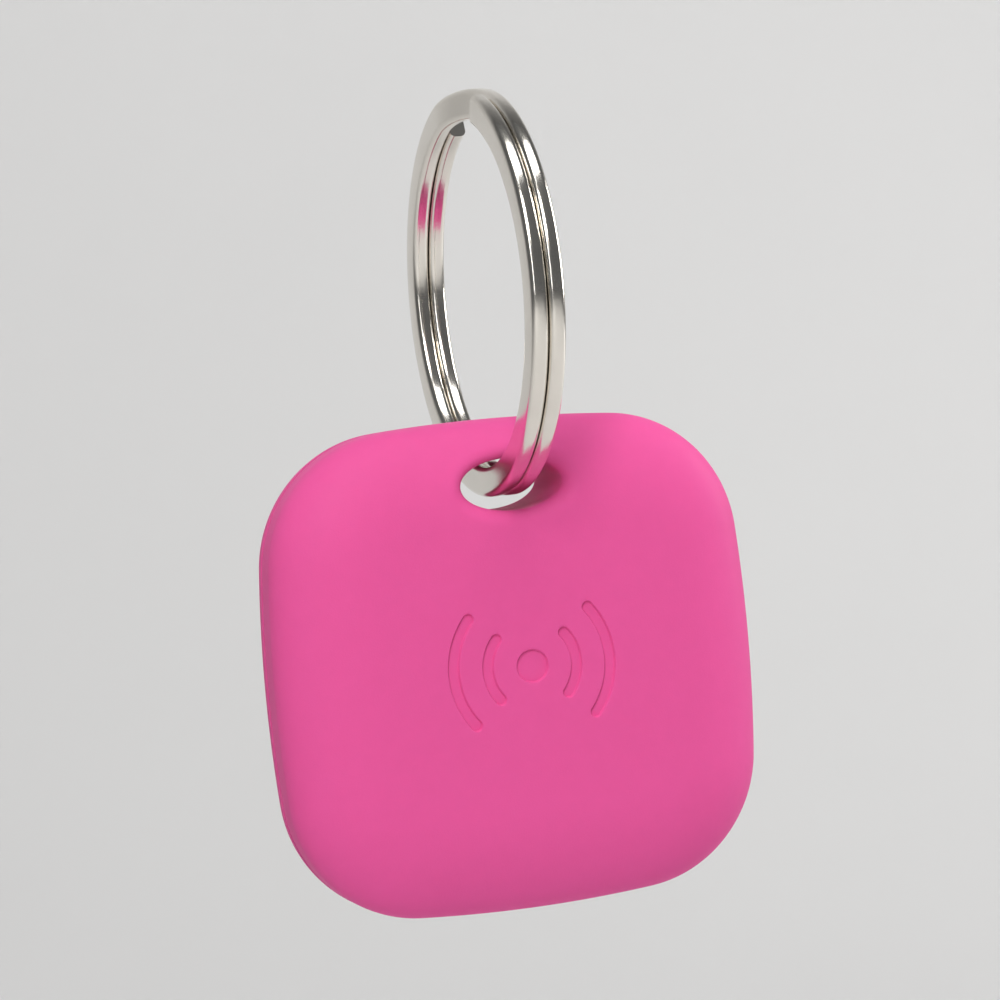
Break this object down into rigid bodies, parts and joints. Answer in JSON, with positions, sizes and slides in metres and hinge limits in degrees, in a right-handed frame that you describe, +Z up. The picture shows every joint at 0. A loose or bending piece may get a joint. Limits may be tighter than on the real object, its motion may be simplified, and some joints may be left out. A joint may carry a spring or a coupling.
{
  "type": "bluetooth tracker tag",
  "caption": "Rounded-square pink plastic tracker tag with a ring hole near its top edge, hanging on a steel split ring, with coin cell, circuit board, sounder and press switch inside.",
  "frame": {"origin": "inner top of the split ring, where whatever carries the tag passes through; the tag hangs below it", "axes": "+Z up, -Y is the way the tag's front face looks, +X to the right as seen from the front, along the split ring's own axis"},
  "size_m": [0.037, 0.03, 0.0606],
  "materials": {
    "cover_plastic": "soft-touch, very fine spark-eroded texture",
    "seal_silicone": "satin",
    "pad_foam": "matt foam",
    "frame_plastic": "moulded, light grain",
    "screw_steel": "zinc plated",
    "board_laminate": "solder mask",
    "chip_epoxy": "moulded",
    "coil_ferrite": "sintered",
    "crystal_metal": "plated lid",
    "antenna_ceramic": "glazed",
    "capacitor_ceramic": "fired",
    "resistor_ceramic": "fired",
    "pad_gold": "gold flash",
    "contact_steel": "nickel plated spring sheet",
    "switch_plastic": "moulded",
    "switch_metal": "bright",
    "plunger_plastic": "moulded",
    "bond_adhesive": "cured",
    "piezo_brass": "rolled",
    "piezo_ceramic": "silvered",
    "cell_steel": "plated",
    "cell_polymer": "moulded",
    "cathode_powder": "pressed",
    "separator_film": "non-woven",
    "anode_lithium": "dull",
    "ring_steel": "polished steel"
  },
  "bodies": {
    "ring": {"split_ring": "ring_steel"},
    "core": {"inner_frame": "frame_plastic", "frame_screws": "screw_steel", "main_board": "board_laminate", "bluetooth_chip": "chip_epoxy", "memory_chip": "chip_epoxy", "motion_sensor": "chip_epoxy", "buzzer_driver": "chip_epoxy", "boost_coil": "coil_ferrite", "main_crystal": "crystal_metal", "clock_crystal": "crystal_metal", "chip_antenna": "antenna_ceramic", "capacitors": "capacitor_ceramic", "resistors": "resistor_ceramic", "test_pads": "pad_gold", "negative_contact": "contact_steel", "positive_contact": "contact_steel", "buzzer_springs": "contact_steel", "switch_base": "switch_plastic", "switch_frame": "switch_metal", "switch_dome": "switch_metal"},
    "front": {"front_cover": "cover_plastic", "piezo_bond": "bond_adhesive", "piezo_plate": "piezo_brass", "piezo_ceramic": "piezo_ceramic"},
    "plunger": {"switch_plunger": "plunger_plastic"},
    "rear": {"back_cover": "cover_plastic", "back_seal": "seal_silicone", "cell_pad": "pad_foam"},
    "cell": {"cell_can": "cell_steel", "cell_cap": "cell_steel", "cell_gasket": "cell_polymer", "cell_cathode": "cathode_powder", "cell_separator": "separator_film", "cell_anode": "anode_lithium"}
  },
  "joints": [
    {"name": "ring_turn", "type": "hinge", "parent": "ring", "child": "core", "pos_m": [0, 0, -0.0128], "axis": [1, 0, 0], "continuous": true},
    {"name": "front_press", "type": "slide", "parent": "core", "child": "front", "axis": [0, 1, 0], "range_m": [0, 0.00025], "stiffness_N_per_m": 8000, "deforming": ["buzzer_springs"]},
    {"name": "plunger_press", "type": "slide", "parent": "core", "child": "plunger", "axis": [0, 1, 0], "range_m": [0, 0.00025], "deforming": ["switch_dome"]},
    {"name": "cover_lift", "type": "slide", "parent": "core", "child": "rear", "axis": [0, 1, 0], "range_m": [0, 0.016]},
    {"name": "cell_lift", "type": "slide", "parent": "core", "child": "cell", "axis": [0, 1, 0], "range_m": [0, 0.008]}
  ],
  "couplings": [
    {"joint": "plunger_press", "follows": "front_press", "ratio": 1},
    {"joint": "cell_lift", "follows": "cover_lift", "ratio": 0.5}
  ]
}
